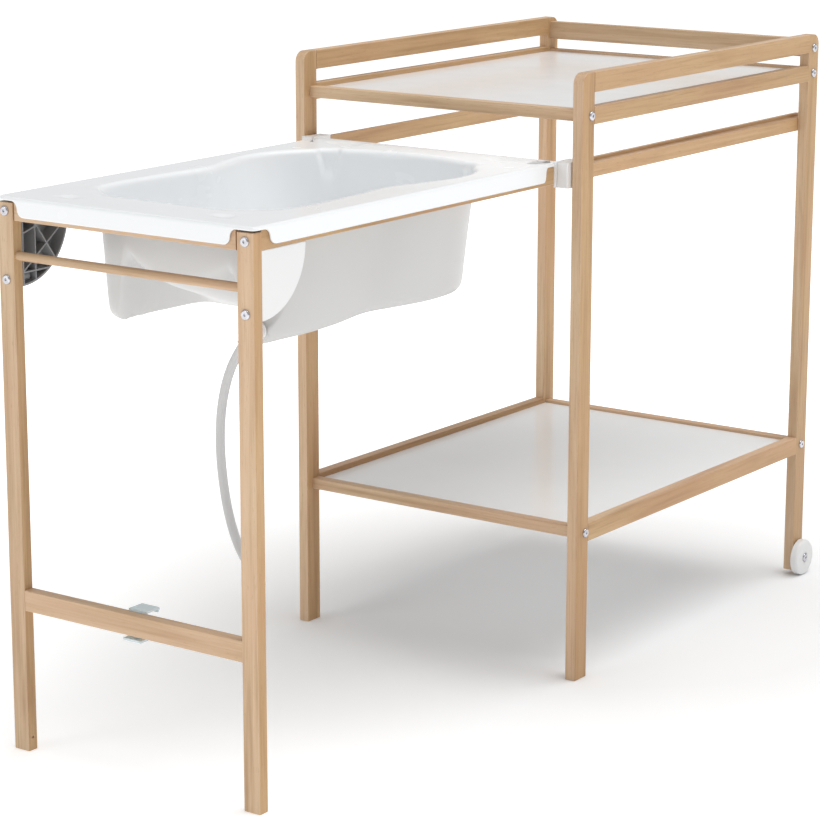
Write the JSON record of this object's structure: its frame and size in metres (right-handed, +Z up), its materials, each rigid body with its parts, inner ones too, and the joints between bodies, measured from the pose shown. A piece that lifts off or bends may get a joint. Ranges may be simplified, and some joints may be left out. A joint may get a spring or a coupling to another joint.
{
  "type": "changing table with bathtub",
  "caption": "Wooden changing table on two legs and two wheels, with a tray on top and a shelf below. A white bathtub with a drain hose pulls out at one end on its own legs.",
  "frame": {"origin": "on the floor, in the middle of the whole object's footprint with the bath pulled out", "axes": "+X to the right of someone facing the bath's free end, +Y from the bath to the back of the table, +Z up"},
  "size_m": [0.6072, 1.5776, 1],
  "materials": {
    "beech": "clear-lacquered light wood",
    "white_board": "white foiled board",
    "tub_plastic": "glossy moulded",
    "white_plastic": "satin moulded",
    "clear_plastic": "milky moulded",
    "hose_plastic": "smooth soft tube",
    "dark_plastic": "matte moulded",
    "grey_rubber": "matte",
    "bright_bolt": "polished",
    "zinc_steel": "zinc plated"
  },
  "bodies": {
    "table": {"right_front_post": "beech", "left_front_post": "beech", "right_back_post": "beech", "left_back_post": "beech", "right_top_rail": "beech", "left_top_rail": "beech", "right_tray_rail": "beech", "left_tray_rail": "beech", "right_shelf_rail": "beech", "left_shelf_rail": "beech", "front_tray_rail": "beech", "front_shelf_rail": "beech", "back_tray_rail": "beech", "back_shelf_rail": "beech", "back_top_rail": "beech", "right_slide_rail": "beech", "left_slide_rail": "beech", "right_slide_stop": "white_plastic", "left_slide_stop": "white_plastic", "tray_board": "white_board", "shelf_board": "white_board", "frame_dowels": "beech", "table_bolts": "bright_bolt", "table_barrel_nuts": "zinc_steel", "slide_rail_screws": "zinc_steel", "wheel_axles": "bright_bolt", "wheel_washers": "zinc_steel", "wheel_nuts": "zinc_steel"},
    "right_wheel": {"right_wheel": "white_plastic"},
    "left_wheel": {"left_wheel": "white_plastic"},
    "bath_frame": {"right_bath_leg": "beech", "left_bath_leg": "beech", "right_bath_rail": "beech", "left_bath_rail": "beech", "bath_front_rail": "beech", "bath_back_rail": "beech", "leg_crossbar": "beech", "towel_rod": "beech", "right_gusset": "dark_plastic", "left_gusset": "dark_plastic", "right_gusset_cover": "white_plastic", "left_gusset_cover": "white_plastic", "right_carriage": "white_plastic", "left_carriage": "white_plastic", "bath_dowels": "beech", "leg_bolts": "bright_bolt", "leg_barrel_nuts": "zinc_steel", "gusset_inserts": "zinc_steel", "gusset_screws": "zinc_steel", "carriage_screws": "zinc_steel", "latch_screw": "zinc_steel"},
    "latch": {"latch": "clear_plastic"},
    "bathtub": {"bathtub": "tub_plastic", "drain_outlet": "white_plastic", "drain_ring": "white_plastic", "hose_clamp": "zinc_steel", "drain_hose": "hose_plastic", "hose_end_plug": "white_plastic"},
    "drain_plug": {"drain_plug": "grey_rubber"}
  },
  "joints": [
    {"name": "bath_slide", "type": "slide", "parent": "table", "child": "bath_frame", "axis": [0, 1, 0], "range_m": [0, 0.7635]},
    {"name": "latch_lift", "type": "slide", "parent": "bath_frame", "child": "latch", "axis": [0, 0, 1], "range_m": [0, 0.005]},
    {"name": "tub_lift", "type": "slide", "parent": "bath_frame", "child": "bathtub", "axis": [0, 0, 1], "range_m": [0, 0.055]},
    {"name": "drain_plug_pull", "type": "slide", "parent": "bathtub", "child": "drain_plug", "axis": [0, 1, 0], "range_m": [0, 0.025]},
    {"name": "right_wheel_spin", "type": "hinge", "parent": "table", "child": "right_wheel", "pos_m": [0.295, 0.75525, 0.033], "axis": [1, 0, 0], "continuous": true},
    {"name": "left_wheel_spin", "type": "hinge", "parent": "table", "child": "left_wheel", "pos_m": [-0.295, 0.75525, 0.033], "axis": [1, 0, 0], "continuous": true}
  ]
}
